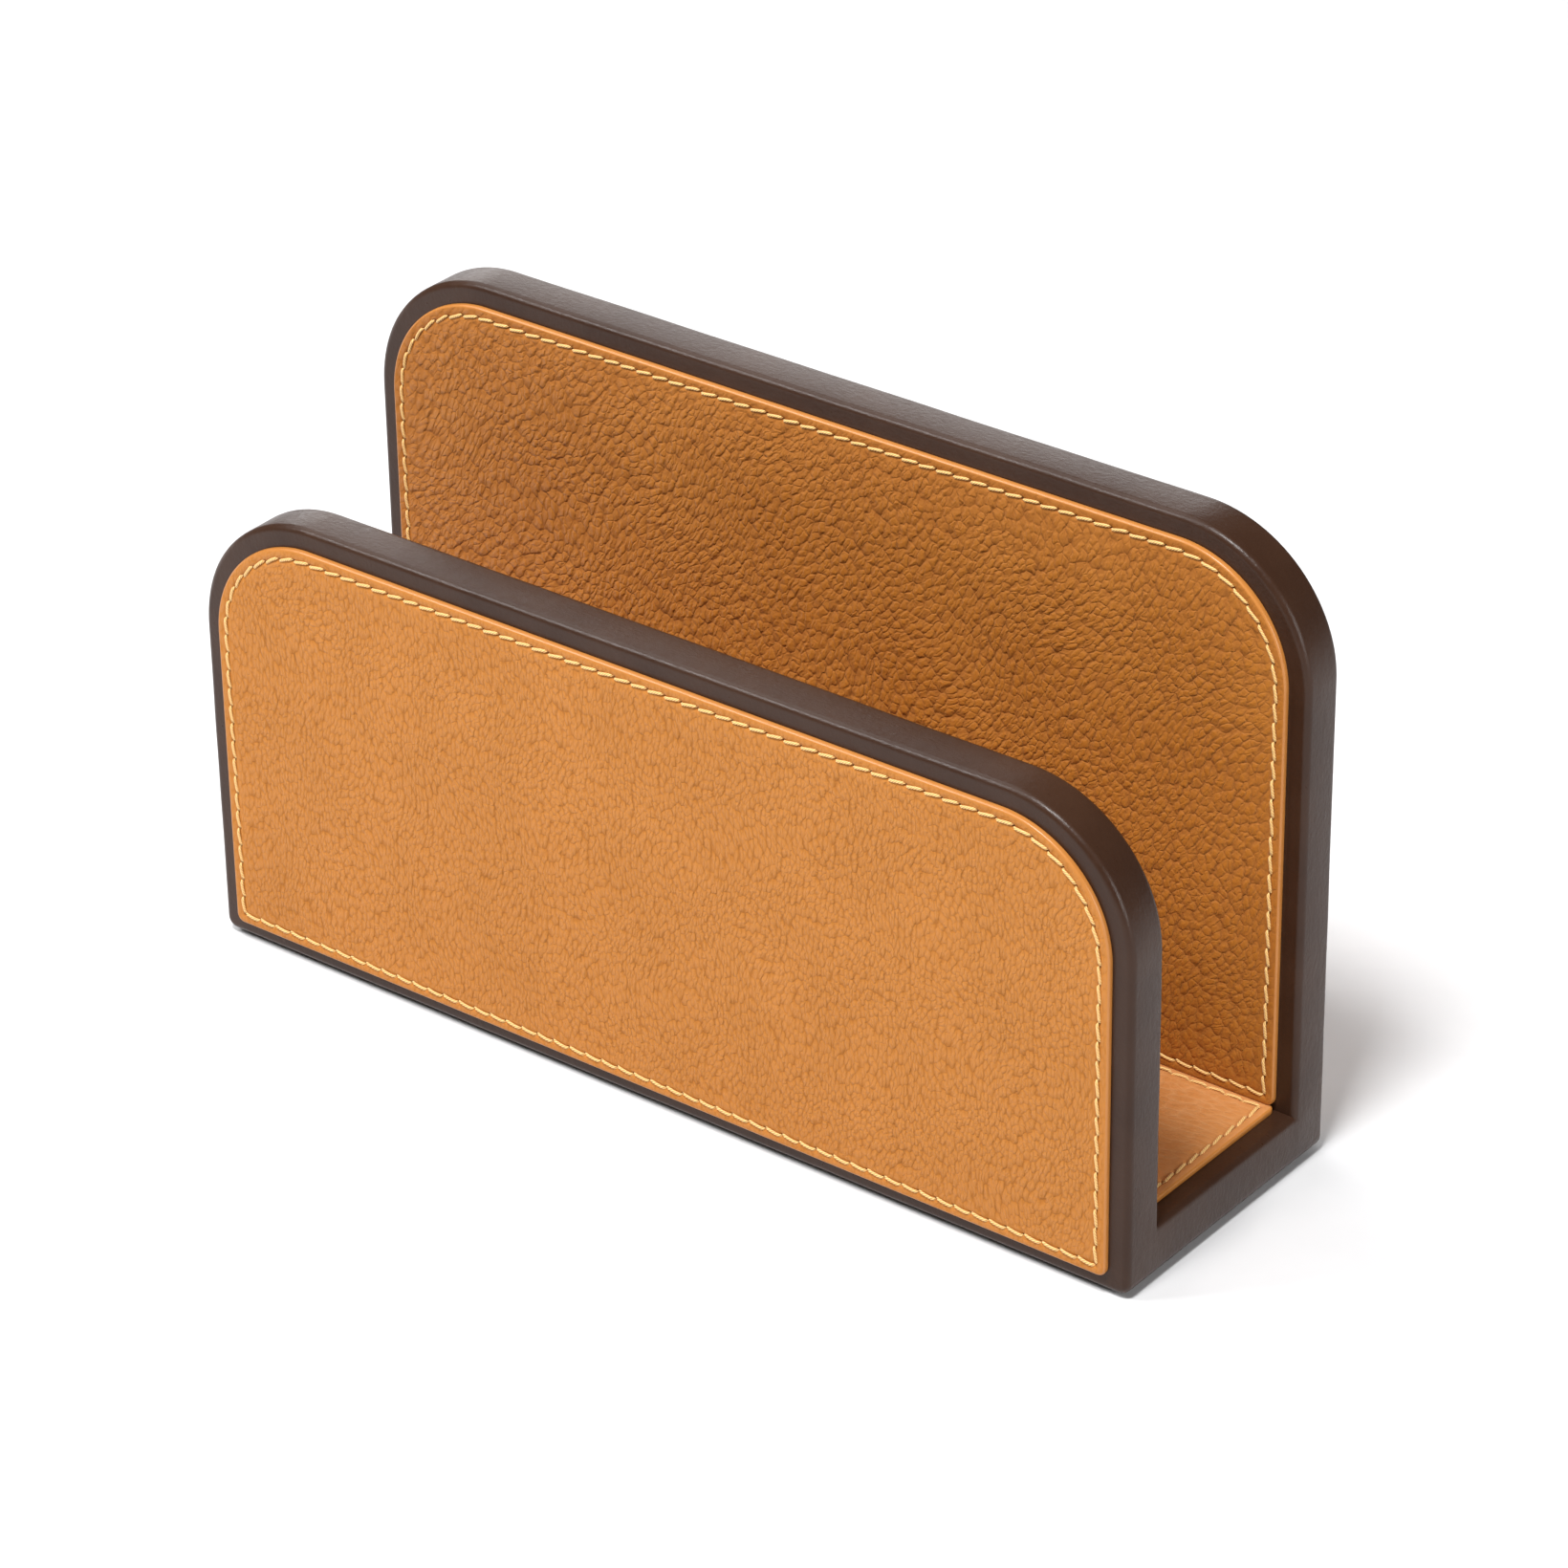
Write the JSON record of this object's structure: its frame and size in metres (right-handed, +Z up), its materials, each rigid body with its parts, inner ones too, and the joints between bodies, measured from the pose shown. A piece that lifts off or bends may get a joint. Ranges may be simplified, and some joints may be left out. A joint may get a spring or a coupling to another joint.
{
  "type": "desk letter rack",
  "caption": "U-shaped desk rack with a low front board and a tall back board, wrapped in dark leather with stitched tan panels, that holds letters and cards upright.",
  "frame": {"origin": "centre of the rack's footprint, on the surface it stands on", "axes": "+X along the length, +Y from the low front board to the tall back board, +Z up"},
  "size_m": [0.2, 0.0608, 0.1173],
  "materials": {
    "wrap_leather": "satin calf leather, fine grain",
    "panel_leather": "pebbled calf leather, semi-matt",
    "panel_backing": "bonded leather board, matt",
    "thread": "waxed linen thread",
    "board_core": "sanded fibreboard",
    "dowel": "plain beech",
    "lining": "suede nap"
  },
  "bodies": {
    "root": {"front_core": "board_core", "back_core": "board_core", "base_core": "board_core", "front_dowels": "dowel", "back_dowels": "dowel", "front_wrap": "wrap_leather", "back_wrap": "wrap_leather", "base_wrap": "wrap_leather", "underside_lining": "lining", "front_outer_panel": "panel_leather", "front_outer_backing": "panel_backing", "front_outer_thread": "thread", "front_inner_panel": "panel_leather", "front_inner_backing": "panel_backing", "front_inner_thread": "thread", "back_inner_panel": "panel_leather", "back_inner_backing": "panel_backing", "back_inner_thread": "thread", "back_outer_panel": "panel_leather", "back_outer_backing": "panel_backing", "back_outer_thread": "thread", "floor_panel": "panel_leather", "floor_backing": "panel_backing", "floor_thread": "thread"}
  },
  "joints": []
}
